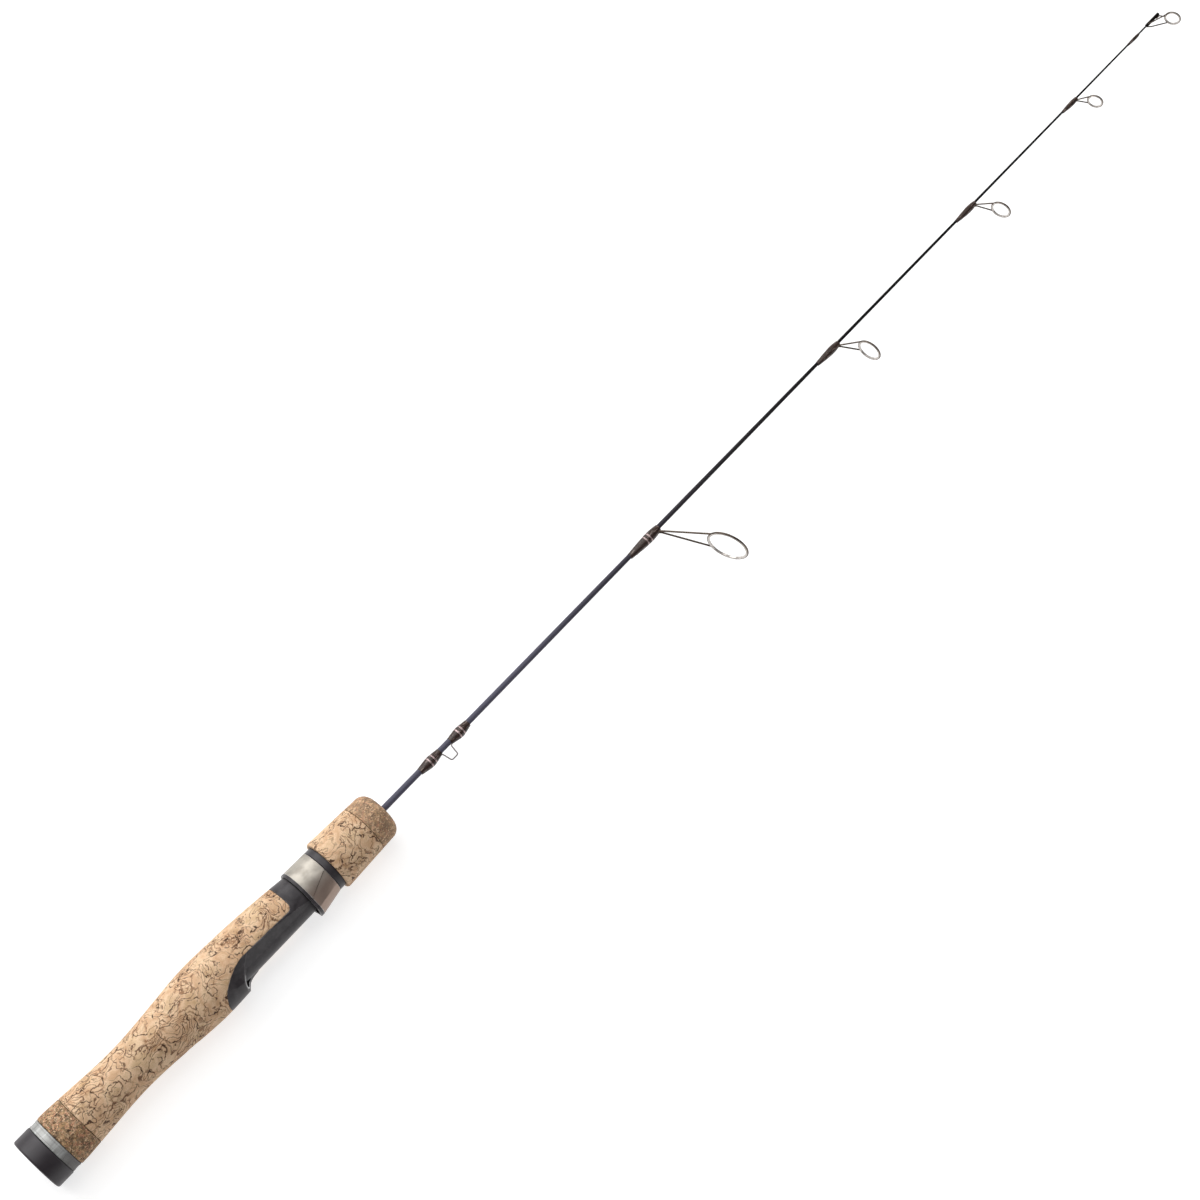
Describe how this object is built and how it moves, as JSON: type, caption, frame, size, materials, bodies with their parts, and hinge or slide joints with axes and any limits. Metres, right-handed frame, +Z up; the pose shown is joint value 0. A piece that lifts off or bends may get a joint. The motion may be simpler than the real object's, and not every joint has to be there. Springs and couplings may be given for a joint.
{
  "type": "ice fishing rod",
  "caption": "Short tapered carbon fishing rod with a contoured burl-cork handle, a reel seat whose hood is tightened by turning the foregrip, wire line guides and a tip-top.",
  "frame": {"origin": "centre of the butt cap's flat end face, on the blank's axis", "axes": "+X along the blank from butt to tip, -Y towards the reel and the line guides, +Z up from the surface that the rod lies on"},
  "size_m": [0.7677, 0.0529, 0.0264],
  "materials": {
    "butt_rubber": "satin moulded rubber",
    "trim_aluminium": "turned and brushed",
    "rubber_cork": "rubberised cork, fine brown, rust and grey granules",
    "burl_cork": "sanded burl cork with dark swirls and flecks",
    "seat_plastic": "satin moulded, dark charcoal",
    "insert_steel": "stamped stainless",
    "arbor_composite": "foamed composite",
    "carbon_blank": "clear-coated carbon, slate blue at the handle end and black towards the tip",
    "keeper_wire": "polished wire",
    "hood_metal": "gunmetal plated",
    "liner_plastic": "dark moulded",
    "nut_plastic": "satin moulded",
    "bushing_plastic": "black moulded",
    "thread_wrap": "brown-black thread under clear epoxy",
    "trim_thread": "metallic trim thread under clear epoxy",
    "guide_wire": "grey plated wire",
    "guide_ring": "polished hard ring",
    "tip_tube_steel": "dark plated tube"
  },
  "bodies": {
    "root": {"butt_cap": "butt_rubber", "butt_ring": "trim_aluminium", "rear_cork_ring": "rubber_cork", "rear_grip": "burl_cork", "reel_seat": "seat_plastic", "fixed_hood_insert": "insert_steel", "rear_arbor": "arbor_composite", "front_arbor": "arbor_composite", "blank": "carbon_blank", "hook_keeper": "keeper_wire", "keeper_rear_wrap": "thread_wrap", "keeper_front_wrap": "thread_wrap", "keeper_rear_bands": "trim_thread", "keeper_front_bands": "trim_thread", "guide_1_bands": "trim_thread", "guide_1_frame": "guide_wire", "guide_1_ring": "guide_ring", "guide_1_wrap": "thread_wrap", "guide_2_frame": "guide_wire", "guide_2_ring": "guide_ring", "guide_2_wrap": "thread_wrap", "guide_3_frame": "guide_wire", "guide_3_ring": "guide_ring", "guide_3_wrap": "thread_wrap", "guide_4_frame": "guide_wire", "guide_4_ring": "guide_ring", "guide_4_wrap": "thread_wrap", "tip_tube": "tip_tube_steel", "tip_frame": "guide_wire", "tip_ring": "guide_ring", "tip_wrap": "thread_wrap"},
    "hood": {"hood_shell": "hood_metal", "hood_liner": "liner_plastic"},
    "foregrip": {"lock_nut": "nut_plastic", "nut_retainer": "insert_steel", "foregrip_cork": "burl_cork", "foregrip_ring": "rubber_cork", "foregrip_bushing": "bushing_plastic"}
  },
  "joints": [
    {"name": "hood_slide", "type": "slide", "parent": "root", "child": "hood", "axis": [1, 0, 0], "range_m": [0, 0.014]},
    {"name": "foregrip_turn", "type": "hinge", "parent": "hood", "child": "foregrip", "pos_m": [0.17, 0, 0], "axis": [1, 0, 0], "range_deg": [0, 2520]}
  ],
  "couplings": [
    {"joint": "foregrip_turn", "follows": "hood_slide", "rad_per_m": 3141.6}
  ]
}
